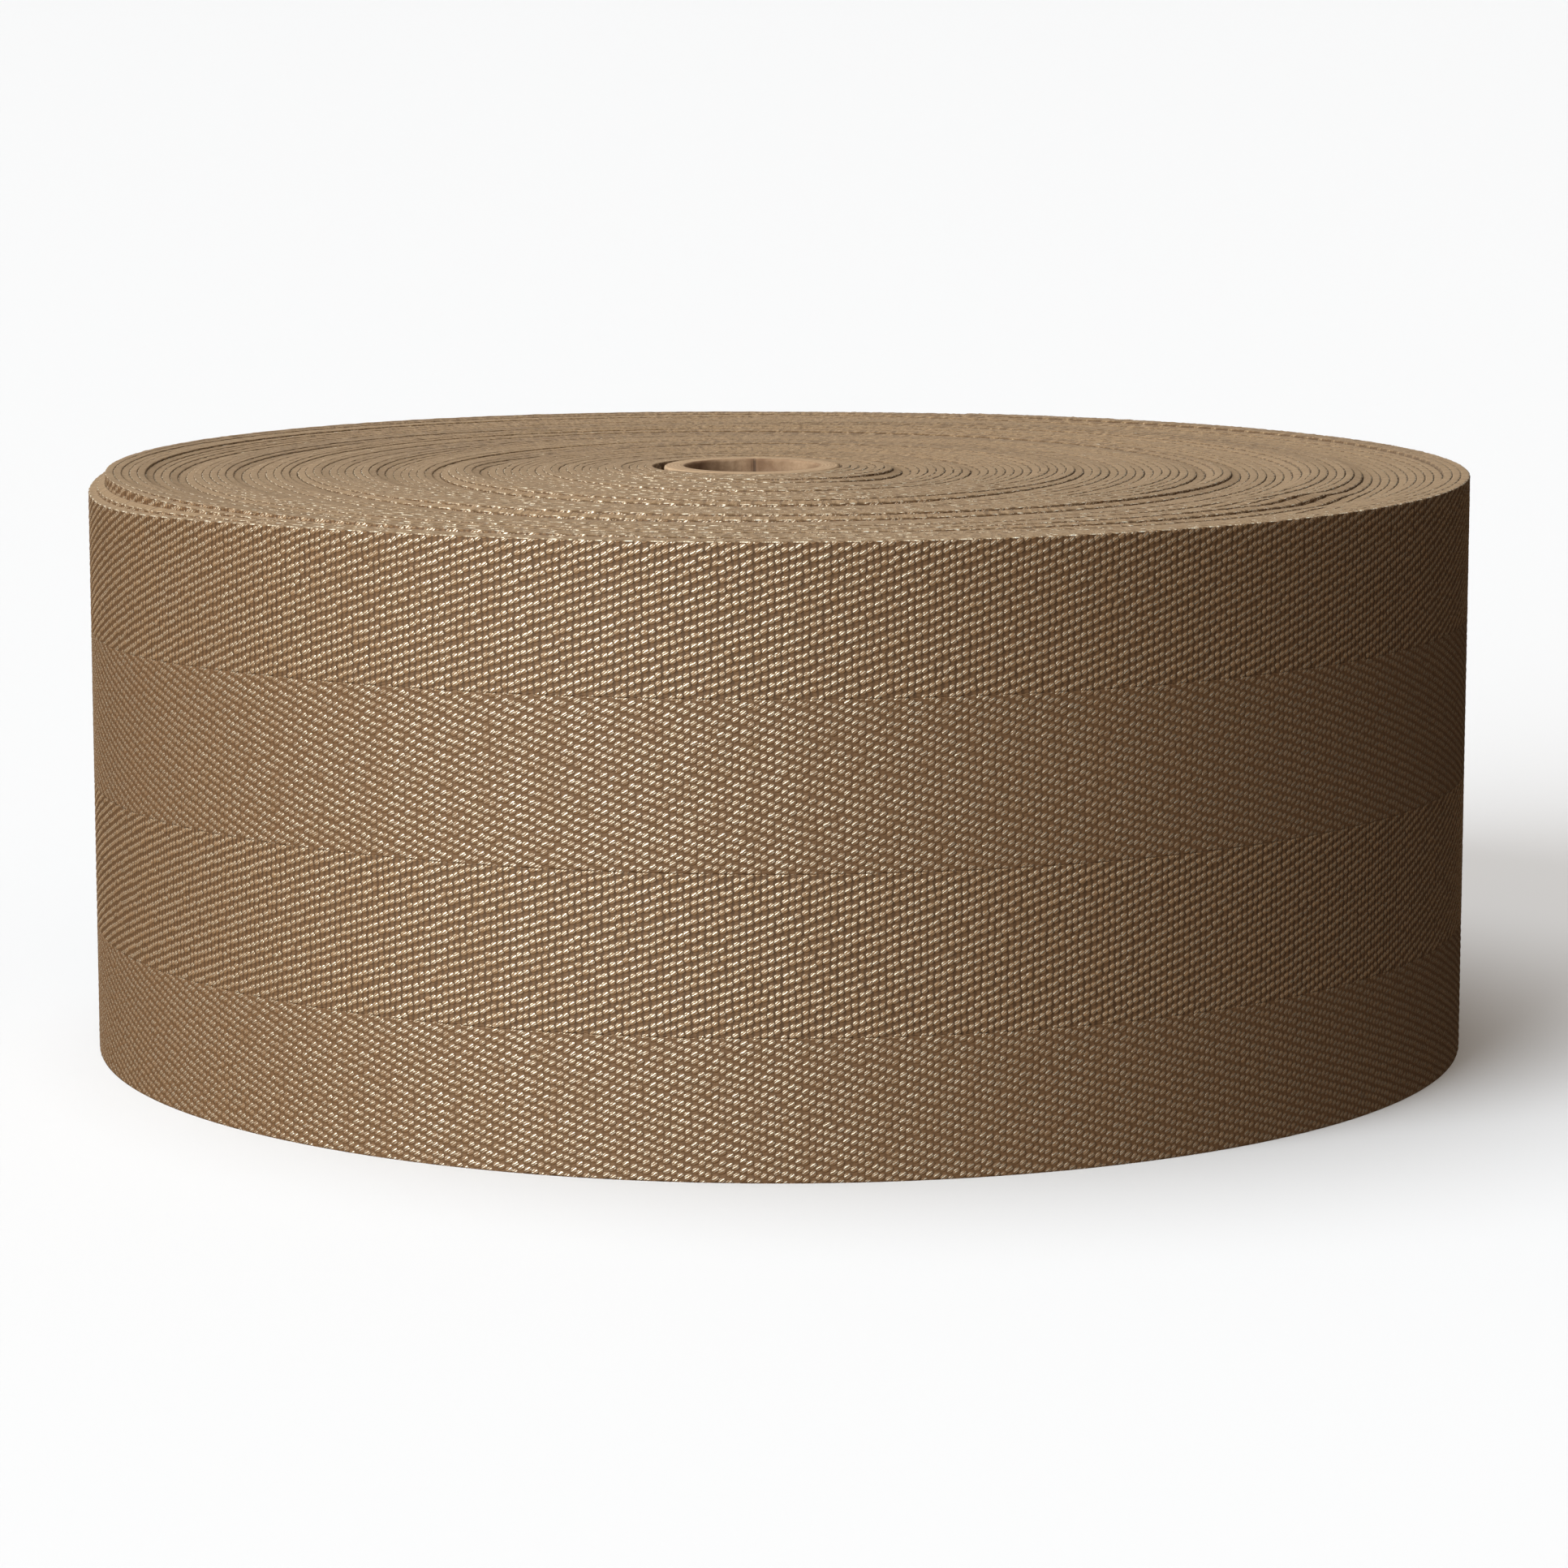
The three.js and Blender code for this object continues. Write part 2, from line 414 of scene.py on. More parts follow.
# Unwrapped, the tape's outer face lies below 0 in ridges, the edge from here across, and the inner face
# beyond it.
EDGE_BEGINS = -0.1
EDGE_SPAN = 1.1
EDGE_MIDDLE = EDGE_BEGINS + EDGE_SPAN / 2
EDGE_ENDS = EDGE_BEGINS + EDGE_SPAN
# Points along the tape at which its length is measured.
LENGTH_POINTS = 40000


def tape_length():
    """Turns and the length of tape up to each, in fine steps."""
    turns = np.linspace(0, TURNS, LENGTH_POINTS)
    path, _ = outer_face(turns)
    steps = np.hypot(*np.diff(path, axis=0).T)
    return turns, np.concatenate([[0], np.cumsum(steps)])


def wound_turns(name, first_turn, last_turn, seed):
    """A run of turns as one ribbon, standing on its lower edge."""
    turns, length = tape_length()
    start, end = np.interp([first_turn, last_turn], turns, length)
    step = np.arange(int(start / EDGE_STEP), int(end / EDGE_STEP) + 1)
    count = len(step)
    along = step * EDGE_STEP
    turn = np.interp(along, length, turns)
    face, outward = outer_face(turn)
    rough = np.random.default_rng(seed)
    corners = len(EDGE_SECTION) + 2
    points = np.zeros((count, corners, 3))
    uv = np.zeros((count, corners + 1, 2))
    notch = (step % EDGE_STEPS_A_RIDGE == 0) * rough.uniform(*OUTER_NOTCHES, count)
    banded = 0.4 + 1.3 * ease(2 * np.sin(0.7 * turn))
    inner_notch = (step % EDGE_STEPS_A_RIDGE == 1) * rough.uniform(*INNER_NOTCHES, count) * banded
    for k, (share, depth) in enumerate(EDGE_SECTION):
        inset = (share - 1) * TURN_THICKNESS + rough.normal(0, EDGE_UNEVEN_SIDE, count)
        height = top_height(turn, (share - 0.5) * EDGE_SLANT) - depth
        height = height + rough.normal(0, EDGE_UNEVEN_HEIGHT, count)
        if share == 1:
            inset = inset - NOTCH_INSET * notch
            height = height - NOTCH_DEPTH * notch
        if share == 0:
            inset = inset + NOTCH_INSET * inner_notch
            height = height - NOTCH_DEPTH * inner_notch
        points[:, k + 1, :2] = face + inset[:, None] * outward
        points[:, k + 1, 2] = height
        uv[:, k + 1, 1] = EDGE_BEGINS + (1 - share) * EDGE_SPAN
    points[:, 0, :2] = face
    points[:, -1, :2] = face - TURN_THICKNESS * outward
    uv[:, 0, 1] = -TAPE_WIDTH / RIDGE
    uv[:, -2, 1] = TAPE_WIDTH / RIDGE
    uv[:, -1, 1] = uv[:, -2, 1] + 1
    uv[:, :, 0] = (along / PICK)[:, None]
    return closed_strip(name, points, uv, edge_from=1)


YARN_PAINTED_DEEP_SHADE = colour(70, 48, 28)
YARN_DARK_AND_PAINTED_SHADE = colour(103, 75, 48)
YARN_MID = colour(132, 103, 71)
YARN_PAINTED_HIGHLIGHT = colour(147, 117, 84)
YARN_PAINTED_GLINT = colour(190, 165, 128)
GLOSS_TINT = (1.0, 0.935, 0.76, 1.0)
YARN_FIBRES = 2600
YARN_WANDER = 700
YARN_PATCHES = 60
YARN_BARS_A_PICK = 0.21
WEAVE_DEPTH = 0.1 * MM
# Where the stripes differ, 1 is for rising ridges and -1 for falling ones. A float's sizes are in
# millimetres. It is a little shorter where it lies along its ridge, so that it stays apart from the next.
FLOAT_LEAN = {1: math.radians(19), -1: math.radians(24)}
FLOAT_HALF_LENGTH = {1: 0.42, -1: 0.47}
FLOAT_HALF_BREADTH = {1: 0.35, -1: 0.355}
# How far a float strays from its place, as shares of a ridge and of a pick.
STRAY_UP = 0.09
STRAY_AHEAD = 0.12
# The strands that a float is plied from, and where the first lies, as a share of their breadth.
STRAND_LEAN = {1: math.radians(37), -1: math.radians(33)}
STRAND_BREADTH = 0.25
STRAND_SHIFT = -0.19
# Each float has a painted highlight on its upper side and painted shade at its ends: from where, and over how
# far.
UPPER_FROM = -0.195
UPPER_OVER = 0.29
ENDS_FROM = {1: 0.28, -1: 0.34}
ENDS_OVER = 0.1
# Shares of a darker or paler tone: painted shade over a whole stripe (far more on the falling ones), random
# patches, painted shade at the float ends and between strands, and the painted glint; and the strength of the
# gloss.
STRIPE_PAINTED_SHADE = {1: 0.04, -1: 0.52}
PATCH_SHADE = 0.15
END_SHADE = {1: 0.45, -1: 0.3}
STRAND_SHADE = 0.4
PAINTED_GLINT_SHARE = 0.22
GLOSS_BODY = 0.55
GLOSS_STRAND = {1: 11.4, -1: 10.8}


def twill(name, lean):
    """Herringbone twill. Each float is a short rounded hump that leans up to the right, made of fine plied
    strands that lean more steeply and catch the light. The grooves between the ridges are painted dark as
    shade, and the floats' upper sides and glints are painted paler as highlights."""
    s = Surface(name)
    uv = s.tree.nodes.new("ShaderNodeUVMap")
    uv.uv_map = "weave"
    parts = s.tree.nodes.new("ShaderNodeSeparateXYZ")
    s.tree.links.new(uv.outputs[0], parts.inputs[0])
    picks, rows = parts.outputs[0], parts.outputs[1]
    place = s.node("ShaderNodeTexCoord", output="Object")
    # The weave is a little uneven, so its picks wander.
    wander = s.noise(place, YARN_WANDER, 2, 0.5)
    picks = s.plus(picks, s.spread(wander, 0.2, 0.8, -0.16, 0.16))
    left = s.math("FLOOR", picks)

    def hump(column):
        """The nearest float in a column of floats: how high it stands at a place, where the place lies along
        and across it in millimetres, and a random value of its own."""
        across = s.minus(rows, s.times(column, lean / REPEAT))
        ridge = s.math("ROUND", across)
        which = s.node("ShaderNodeCombineXYZ", {0: column, 1: ridge})
        chance = s.node("ShaderNodeTexWhiteNoise", {"Vector": which})
        other = s.node("ShaderNodeTexWhiteNoise", {"Vector": which, "W": 5.0}, noise_dimensions="4D")
        up = s.plus(s.minus(across, ridge), s.spread(chance, 0, 1, -STRAY_UP, STRAY_UP))
        up = s.times(up, RIDGE / MM)
        ahead = s.plus(s.minus(picks, column), s.spread(other, 0, 1, -STRAY_AHEAD, STRAY_AHEAD))
        ahead = s.times(ahead, PICK / MM)
        cosine, sine = math.cos(FLOAT_LEAN[lean]), math.sin(FLOAT_LEAN[lean])
        run = s.plus(s.times(ahead, cosine), s.times(up, sine))
        side = s.minus(s.times(up, cosine), s.times(ahead, sine))
        lengthwise = s.math("ABSOLUTE", s.math("DIVIDE", run, FLOAT_HALF_LENGTH[lean]))
        sideways = s.math("ABSOLUTE", s.math("DIVIDE", side, FLOAT_HALF_BREADTH[lean]))
        reach = s.plus(s.math("POWER", lengthwise, 2.5), s.math("POWER", sideways, 2))
        return s.minus(1, reach), run, side, chance

    # Of the two floats beside a place, the higher one shows.
    rise_l, run_l, side_l, chance_l = hump(left)
    rise_r, run_r, side_r, chance_r = hump(s.plus(left, 1))
    is_right = s.math("GREATER_THAN", rise_r, rise_l)

    def either(a, b):
        return s.node("ShaderNodeMix", {0: is_right, 2: a, 3: b})

    rise = s.math("MAXIMUM", s.math("MAXIMUM", rise_l, rise_r), 0)
    run, side, chance = either(run_l, run_r), either(side_l, side_r), either(chance_l, chance_r)
    # The plied strands cross each float at a slant.
    fibre = s.noise(place, YARN_FIBRES, 3, 0.65)
    turn = STRAND_LEAN[lean] - FLOAT_LEAN[lean]
    slant_run = s.times(run, math.sin(turn) / STRAND_BREADTH)
    slant_side = s.times(side, math.cos(turn) / STRAND_BREADTH)
    stray = s.plus(s.times(chance, 0.5), s.times(fibre, 0.9))
    slant = s.plus(s.minus(slant_run, slant_side), s.plus(stray, STRAND_SHIFT))
    ply = s.math("SINE", s.times(slant, math.tau))
    # The relief: the float, its strands and their fibres.
    dome = s.math("POWER", rise, 0.75)
    height = s.plus(dome, s.times(s.times(ply, dome), 0.1))
    height = s.plus(height, s.times(fibre, 0.2))
    # The colour: painted shade between the floats, a painted highlight on their upper side, and painted shade
    # between strands and at the ends.
    patches = s.noise(place, YARN_PATCHES, 3, 0.6)
    inputs = {"W": picks, "Scale": YARN_BARS_A_PICK, "Detail": 2.0}
    bars = s.node("ShaderNodeTexNoise", inputs, noise_dimensions="1D")
    upper_side_highlight = s.plus(side, s.times(ply, 0.06))
    upper_side_highlight = s.spread(upper_side_highlight, UPPER_FROM, UPPER_FROM + UPPER_OVER)
    frayed = s.plus(picks, s.spread(fibre, 0.2, 0.8, -0.2, 0.2))
    between = s.math("COSINE", s.times(frayed, math.tau))
    # Painted shade: dark in the grooves and gaps between the floats.
    painted_groove_shade = s.blend(s.spread(between, -0.7, 0.5), YARN_PAINTED_DEEP_SHADE, YARN_DARK_AND_PAINTED_SHADE)
    tone = s.blend(s.spread(dome, 0.1, 0.6), painted_groove_shade, YARN_MID)
    # Painted highlight: the upper side of each float is painted paler.
    tone = s.blend(s.times(s.times(upper_side_highlight, dome), 0.6), tone, YARN_PAINTED_HIGHLIGHT)
    # Painted shade: darker in the troughs between the plied strands.
    painted_strand_shade = s.times(s.spread(ply, 0.1, -0.9), s.spread(fibre, 0.3, 0.6, 0.3, 1))
    tone = s.blend(s.times(painted_strand_shade, STRAND_SHADE), tone, YARN_DARK_AND_PAINTED_SHADE)
    # Painted shade: dark at the ends of each float, where it meets the next.
    ends = s.spread(s.math("ABSOLUTE", run), ENDS_FROM[lean], ENDS_FROM[lean] + ENDS_OVER)
    tone = s.blend(s.times(ends, END_SHADE[lean]), tone, YARN_PAINTED_DEEP_SHADE)
    # The glint: the crests of the strands on the upper side, more on some floats than on others. It drives
    # the gloss, and is also painted into the colour as a pale painted highlight.
    glint = s.times(s.spread(ply, -0.1, 0.8), s.times(upper_side_highlight, s.spread(dome, 0.15, 0.6)))
    glint = s.times(glint, s.spread(chance, 0, 1, 0.4, 1))
    glint = s.times(glint, s.spread(bars, 0.3, 0.7, 0.7, 1))
    glint = s.times(glint, s.spread(fibre, 0.38, 0.6, 0.25, 1.2))
    # Painted highlight: the glint also lightens the colour toward pale.
    tone = s.blend(s.times(glint, PAINTED_GLINT_SHARE), tone, YARN_PAINTED_GLINT)
    # Random patches of a darker tone, over painted shade that darkens the falling stripes all over.
    shade = s.spread(patches, 0.35, 0.7, STRIPE_PAINTED_SHADE[lean], STRIPE_PAINTED_SHADE[lean] + PATCH_SHADE)
    tone = s.blend(shade, tone, YARN_DARK_AND_PAINTED_SHADE)
    s.shader.inputs["Specular Tint"].default_value = GLOSS_TINT
    gloss = s.spread(glint, 0.03, 0.45, GLOSS_BODY, GLOSS_STRAND[lean])
    s.tree.links.new(gloss, s.shader.inputs["Specular IOR Level"])
    rough = s.spread(glint, 0, 0.5, 0.65, 0.53)
    return s.finish(tone, s.bump(height, WEAVE_DEPTH, 1.0), rough)


EDGE_DARK_AND_PAINTED_SHADE = colour(84, 62, 40)
EDGE_MID = colour(114, 92, 65)
EDGE_LIGHT = colour(142, 118, 88)
EDGE_PALE_AND_PAINTED_HIGHLIGHT = colour(190, 167, 135)
EDGE_FLUFF = 3200
EDGE_WANDER = 900
EDGE_PATCHES = 130
EDGE_SPECKLE_A_PICK = 0.9
EDGE_RELIEF = 0.09 * MM
LOOP_SLANT = 0.55
# The painted shade in the notches and the painted highlights on the glossy tips at the corners are full up to
# the first and gone at the second.
CORNER_WHOLE = 0.05
CORNER_GONE = 0.11
SHEEN_TINT = (1.0, 0.85, 0.66, 1.0)
SHEEN_WEIGHT = 0.2
SHEEN_ROUGHNESS = 0.6
EDGE_GLOSS = 0.3
TIP_GLOSS = 15
# Along the back the turns stand open in three soft bands, where rows of short dark dashes are painted as the
# shade in their gaps.
BAND_RADIUS = 68 * MM
BAND_SPACING = 15.5 * MM
BACK_FULL_AT = 30 * MM
DASHES_A_PICK = 0.45


def painted_back_band_shade(s, place, along):
    parts = s.tree.nodes.new("ShaderNodeSeparateXYZ")
    s.tree.links.new(place, parts.inputs[0])
    flat = s.node("ShaderNodeVectorMath", {0: place, 1: (1, 1, 0)}, operation="MULTIPLY")
    radius = s.node("ShaderNodeVectorMath", {0: flat}, output=1, operation="LENGTH")
    bands = s.math("COSINE", s.times(s.minus(radius, BAND_RADIUS), math.tau / BAND_SPACING))
    at_back = s.spread(parts.outputs[1], 0, BACK_FULL_AT)
    inputs = {"W": along, "Scale": DASHES_A_PICK, "Detail": 2.0, "Roughness": 0.6}
    dashes = s.node("ShaderNodeTexNoise", inputs, noise_dimensions="1D")
    shade = s.times(s.spread(bands, -0.2, 0.7), s.spread(dashes, 0.52, 0.42, 0.15, 0.75))
    return s.times(shade, at_back)


def woven_edge():
    """The tape's edge, where the weft turns back: short loops across it, one for each pick, with random dark
    and pale specks along it.
    """
    s = Surface("woven_edge")
    place = s.node("ShaderNodeTexCoord", output="Object")
    uv = s.tree.nodes.new("ShaderNodeUVMap")
    uv.uv_map = "weave"
    parts = s.tree.nodes.new("ShaderNodeSeparateXYZ")
    s.tree.links.new(uv.outputs[0], parts.inputs[0])
    along, across = parts.outputs[0], parts.outputs[1]
    wander = s.noise(place, EDGE_WANDER, 3, 0.6)
    leaning = s.plus(along, s.times(across, -LOOP_SLANT))
    loops = s.math("SINE", s.plus(s.times(leaning, math.tau), s.times(wander, 6)))
    strands = s.math("SINE", s.plus(s.times(leaning, 3 * math.tau), s.times(wander, 5)))
    fluff = s.noise(place, EDGE_FLUFF, 4, 0.7)
    patches = s.noise(place, EDGE_PATCHES, 3, 0.6)
    inputs = {"W": along, "Scale": EDGE_SPECKLE_A_PICK, "Detail": 3.0, "Roughness": 0.7}
    along_speckle = s.node("ShaderNodeTexNoise", inputs, noise_dimensions="1D")
    height = s.plus(s.times(loops, 0.25), s.times(strands, 0.1))
    height = s.plus(height, s.times(fluff, 1.8))
    # Paler where the loops and fluff stand higher and darker in their hollows: partly the fluff's own random
    # tone, partly painted shade.
    tone = s.blend(s.spread(height, 0.2, 1.3), EDGE_MID, EDGE_LIGHT)
    # Random dark and pale specks along the tape.
    tone = s.blend(s.spread(along_speckle, 0.47, 0.34, 0, 0.75), tone, EDGE_DARK_AND_PAINTED_SHADE)
    tone = s.blend(s.spread(along_speckle, 0.57, 0.7, 0, 0.35), tone, EDGE_PALE_AND_PAINTED_HIGHLIGHT)
    # Painted shade: rows of short dark dashes where the turns stand open along the back.
    tone = s.blend(painted_back_band_shade(s, place, along), tone, EDGE_DARK_AND_PAINTED_SHADE)
    height = s.plus(height, s.times(along_speckle, 1.5))
    tone = s.blend(s.spread(fluff, 0.62, 0.72, 0, 0.5), tone, EDGE_PALE_AND_PAINTED_HIGHLIGHT)
    tone = s.blend(s.spread(patches, 0.35, 0.7, 0, 0.25), tone, EDGE_MID)
    # Past the corners, on the tape's two faces, ridges show as in the twill: the grooves painted dark as
    # shade and the crests with pale beads painted as highlights.
    folded = s.math("ABSOLUTE", s.minus(across, EDGE_MIDDLE))
    on_face = s.spread(folded, EDGE_SPAN / 2 - 0.02, EDGE_SPAN / 2 + 0.1)
    ridges = s.math("COSINE", s.times(s.minus(across, s.times(along, 1 / REPEAT)), math.tau))
    crest = s.spread(ridges, -0.4, 0.8)
    beads = s.math("COSINE", s.times(s.plus(along, s.times(wander, 0.4)), math.tau))
    dots = s.times(crest, s.spread(beads, -0.1, 0.7))
    dots = s.times(dots, s.spread(fluff, 0.35, 0.6, 0.2, 1))
    twill_tone = s.blend(s.times(dots, 0.85), s.blend(crest, EDGE_DARK_AND_PAINTED_SHADE, EDGE_MID), EDGE_PALE_AND_PAINTED_HIGHLIGHT)
    tone = s.blend(on_face, tone, twill_tone)
    # Painted shade in the notches at both corners, and between those of the outer one, tips with a painted
    # highlight and real gloss.
    corner = s.spread(across, EDGE_BEGINS + CORNER_GONE, EDGE_BEGINS + CORNER_WHOLE)
    notch = s.math("COSINE", s.times(along, math.tau / REPEAT))
    painted_notch_shade = s.times(s.spread(notch, 0.45, 0.8), corner)
    tone = s.blend(s.times(painted_notch_shade, 0.85), tone, EDGE_DARK_AND_PAINTED_SHADE)
    inner_corner = s.spread(across, EDGE_ENDS - CORNER_GONE, EDGE_ENDS - CORNER_WHOLE)
    one_step_on = s.minus(along, REPEAT / EDGE_STEPS_A_RIDGE)
    inner = s.math("COSINE", s.times(one_step_on, math.tau / REPEAT))
    inner = s.times(s.spread(inner, 0.35, 0.7), inner_corner)
    tone = s.blend(s.times(inner, 0.9), tone, EDGE_DARK_AND_PAINTED_SHADE)
    tip_highlight = s.times(s.times(s.spread(notch, 0.4, 0.1), corner), s.spread(along_speckle, 0.42, 0.6))
    tone = s.blend(s.times(tip_highlight, 0.6), tone, EDGE_PALE_AND_PAINTED_HIGHLIGHT)
    height = s.plus(height, s.times(s.times(dots, on_face), 0.8))
    s.shader.inputs["Sheen Weight"].default_value = SHEEN_WEIGHT
    s.shader.inputs["Sheen Roughness"].default_value = SHEEN_ROUGHNESS
    s.shader.inputs["Sheen Tint"].default_value = SHEEN_TINT
    s.shader.inputs["Specular Tint"].default_value = GLOSS_TINT
    gloss = s.spread(tip_highlight, 0, 1, EDGE_GLOSS, TIP_GLOSS)
    s.tree.links.new(gloss, s.shader.inputs["Specular IOR Level"])
    return s.finish(tone, s.bump(height, EDGE_RELIEF, 0.8), s.spread(fluff, 0.3, 0.7, 0.8, 0.6))


edge_cloth = woven_edge()
twill_rising = twill("twill_rising", 1)
# All turns but the outermost are three pieces: first turn, last turn, and seed.
RUNS = [
    ("turns_near_tube", 0, 32, 21),
    ("turns_further_out", 32, 52, 22),
    ("turns_near_rim", 52, TURNS - 1, 23),
]
for name, first_turn, last_turn, seed in RUNS:
    run = wound_turns(name, first_turn, last_turn, seed)
    run.data.materials.append(twill_rising)
    run.data.materials.append(edge_cloth)
    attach(run, "root")
    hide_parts("wound_tape")


# The outermost turn, whose face shows. The tape is herringbone twill in four stripes: in each the raised
# floats step by a quarter of a ridge from pick to pick, up or down, so the ridges turn at each stripe.
# Each stripe is a piece, from under the tape's end once round to its cut edge at the back.
STEPS_A_PICK = 2
ROWS_A_RIDGE = 3
# A row keeps at least this far from the stripe's border, as a share of the distance between rows.
ROW_MARGIN = 0.06
TUCKED_PICKS = 6
# The relief of a float, and as shares of it its ends, the groove beside them and a stripe's border.
FLOAT_HEIGHT = 0.1 * MM
FLOAT_UNEVEN = 0.12
FLOAT_ENDS = {1: 0.3, -1: 0.35}
GROOVE_BY_ENDS = {1: 0.0, -1: 0.25}
BORDER_RELIEF = 0.35
# At the upper edge the ridges push the tape's outer corner out, and its inner one in.
RIDGE_PUSH = 0.09 * MM
RIM_UNEVEN = 0.025 * MM
STRIPE_SEED = 31
EDGE_SEED_AHEAD = 50
# Lower and upper ridge of each stripe, and 1 for rising or -1 for falling ridges.
STRIPES = [
    ("stripe_lowest", 0, 16, -1),
    ("stripe_low", 16, 34, 1),
    ("stripe_high", 34, 53, -1),
    ("stripe_top", 53, 70, 1),
]


def outer_turn_columns():
    """Picks along the outermost turn, from a little under the tape's end to its cut edge."""
    return np.arange(-TUCKED_PICKS * STEPS_A_PICK, PICKS_ROUND * STEPS_A_PICK + 1) / STEPS_A_PICK


def stripe_rows(picks, ridges, lean):
    """Heights of the rows of points in each column, counted in ridges from the stripe's lower edge. The rows
    step with the floats, so that each float has a row at both its shoulders and one in the groove."""
    step = 1 / ROWS_A_RIDGE
    shift = (lean * picks / REPEAT + 0.5 * step) % step
    shift = ROW_MARGIN * step + (1 - 2 * ROW_MARGIN) * shift
    inner = np.arange(ridges * ROWS_A_RIDGE)[None, :] * step + shift[:, None]
    low = np.zeros((len(picks), 1))
    return np.concatenate([low, inner, low + ridges], axis=1)


def float_relief(picks, rows, lean, seed):
    """How far each point stands out: high on a float, less between two floats of a ridge, and least in the
    grooves."""
    phase = (rows - lean * picks[:, None] / REPEAT) % 1
    groove = np.abs(phase - 0.5) < 0.5 / ROWS_A_RIDGE
    at_float = (np.round(picks * STEPS_A_PICK).astype(int) % STEPS_A_PICK == 0)[:, None]
    vary = 1 + np.random.default_rng(seed).normal(0, FLOAT_UNEVEN, rows.shape)
    relief = np.where(at_float, 1.0, FLOAT_ENDS[lean]) * vary
    relief = np.where(groove, np.where(at_float, 0.0, GROOVE_BY_ENDS[lean]), relief)
    relief[:, 0] = BORDER_RELIEF
    relief[:, -1] = BORDER_RELIEF
    return relief * FLOAT_HEIGHT


def stripe(name, low_ridge, high_ridge, lean, seed):
    picks = outer_turn_columns()
    ridges = high_ridge - low_ridge
    rows = stripe_rows(picks, ridges, lean)
    relief = float_relief(picks, rows, lean, seed)
    turn = TURNS - 1 + picks / PICKS_ROUND
    face, outward = outer_face(turn)
    stretch = top_height(turn, 0.5 * EDGE_SLANT) / TAPE_WIDTH
    steps, count = rows.shape
    edge = []
    if high_ridge * RIDGE == TAPE_WIDTH:
        edge = EDGE_SECTION[1:]
        rows[:, -1] += EDGE_BEGINS
    corners = count + max(len(edge), 1) + 1
    points = np.zeros((steps, corners, 3))
    uv = np.zeros((steps, corners + 1, 2))
    out = face[:, None, :] + relief[:, :, None] * outward[:, None, :]
    points[:, :count, :2] = out
    points[:, :count, 2] = (low_ridge + rows) * RIDGE * stretch[:, None]
    uv[:, :count, 1] = rows + low_ridge - TAPE_WIDTH / RIDGE
    rough = np.random.default_rng(seed + EDGE_SEED_AHEAD)
    ridge = np.cos(math.tau * picks / REPEAT)
    for k, (share, depth) in enumerate(edge or [(0.0, 0.0)]):
        inset = (share - 1) * TURN_THICKNESS + (share - 0.5) * RIDGE_PUSH * ridge
        points[:, count + k, :2] = face + inset[:, None] * outward
        points[:, count + k, 2] = high_ridge * RIDGE * stretch
        if edge:
            height = top_height(turn, (share - 0.5) * EDGE_SLANT) - depth
            points[:, count + k, 2] = height + rough.normal(0, RIM_UNEVEN, steps)
        uv[:, count + k, 1] = EDGE_BEGINS + (1 - share) * EDGE_SPAN
    points[:, -1, :2] = face - TURN_THICKNESS * outward
    points[:, -1, 2] = low_ridge * RIDGE * stretch
    uv[:, -2, 1] = uv[:, -3, 1] + ridges
    uv[:, -1, 1] = uv[:, -2, 1] + 1
    uv[:, :, 0] = picks[:, None]
    return closed_strip(name, points, uv, lean=lean, edge_from=count - 1)


twills = {1: twill_rising, -1: twill("twill_falling", -1)}
for number, (name, low_ridge, high_ridge, lean) in enumerate(STRIPES):
    part = stripe(name, low_ridge, high_ridge, lean, STRIPE_SEED + number)
    part.data.materials.append(twills[lean])
    part.data.materials.append(edge_cloth)
    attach(part, "root")
    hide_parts("wound_tape")


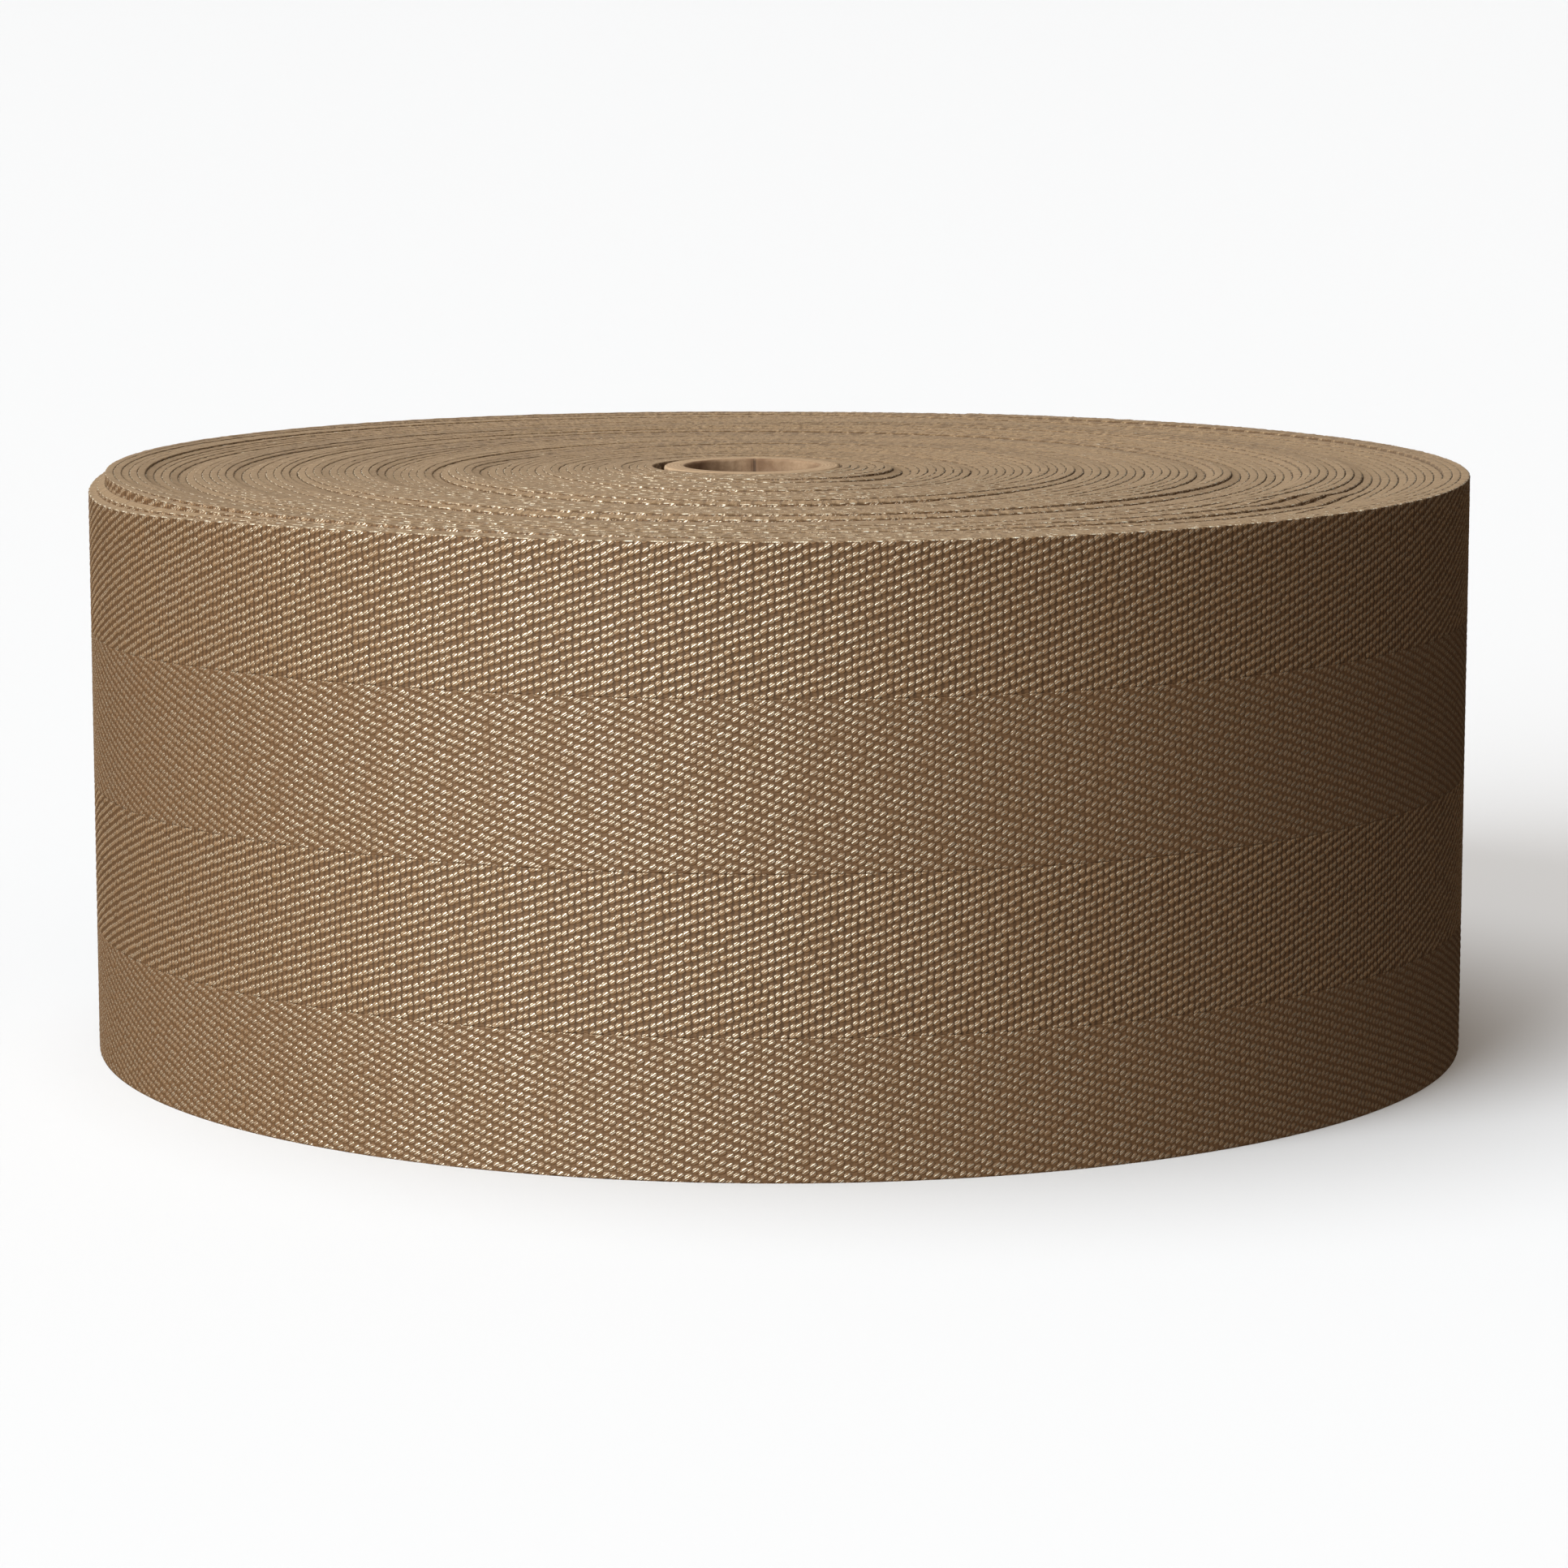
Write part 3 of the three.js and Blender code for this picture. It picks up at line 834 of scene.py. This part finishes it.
# The studio: a plain pale floor, a soft lamp low on the left in front, made of one for the tape's colour
# and one for its gloss, a wide one high above, and a dim warm fill from all round. The floor throws no
# light of its own back at the roll.
FLOOR_SIZE = 120
FLOOR_COLOUR = (0.765, 0.815, 0.865, 1.0)
FLOOR_ROUGHNESS = 0.9
SKY_STRENGTH = 0.36
SKY_COLOUR = (1.0, 0.79, 0.6, 1.0)
LAMPS = [
    {"name": "side_lamp", "strength": 4.1, "breadth": 44, "height": 20, "left": 43, "gloss": False},
    {"name": "gloss_lamp", "strength": 4.7, "breadth": 60, "height": 20, "left": 34, "body": False},
    {"name": "high_lamp", "strength": 1.6, "breadth": 50, "height": 74, "left": 100},
]


def pale_floor():
    bpy.ops.mesh.primitive_plane_add(size=FLOOR_SIZE)
    floor = bpy.context.object
    floor.name = "floor"
    s = Surface("pale_floor")
    s.shader.inputs["Base Color"].default_value = FLOOR_COLOUR
    s.shader.inputs["Roughness"].default_value = FLOOR_ROUGHNESS
    floor.data.materials.append(s.material)
    floor.visible_diffuse = False
    floor.visible_glossy = False


def soft_lamp(name, strength, breadth, height, left, gloss=True, body=True):
    lamp = bpy.data.lights.new(name, "SUN")
    lamp.energy = strength
    lamp.angle = math.radians(breadth)
    stand = bpy.data.objects.new(name, lamp)
    stand.rotation_euler = (math.radians(90 - height), 0, math.radians(-left))
    stand.visible_glossy = gloss
    stand.visible_diffuse = body
    bpy.context.scene.collection.objects.link(stand)


def sky():
    world = bpy.data.worlds.new("sky")
    world.use_nodes = True
    world.node_tree.nodes["Background"].inputs["Color"].default_value = SKY_COLOUR
    world.node_tree.nodes["Background"].inputs["Strength"].default_value = SKY_STRENGTH
    bpy.context.scene.world = world
    world.cycles_visibility.glossy = False


pale_floor()
for lamp in LAMPS:
    soft_lamp(**lamp)
sky()
bpy.context.scene.view_settings.view_transform = "Standard"


# The camera, at the photograph's viewing angle: a long lens a little above the roll, aimed near its middle.
CAMERA_DISTANCE = 0.643
CAMERA_HEIGHT = 0.1323
AIM_SIDE = 0.00055
AIM_HEIGHT = 0.0309
LENS = 120.6
SENSOR = 36
camera = bpy.data.objects.new("camera", bpy.data.cameras.new("camera"))
camera.data.sensor_width = SENSOR
camera.data.lens = LENS
camera.location = (0, -CAMERA_DISTANCE, CAMERA_HEIGHT)
drop = math.atan((CAMERA_HEIGHT - AIM_HEIGHT) / CAMERA_DISTANCE)
camera.rotation_euler = (math.radians(90) - drop, 0, -math.atan(AIM_SIDE / CAMERA_DISTANCE))
camera.data.clip_start = 0.01
bpy.context.scene.collection.objects.link(camera)
bpy.context.scene.camera = camera
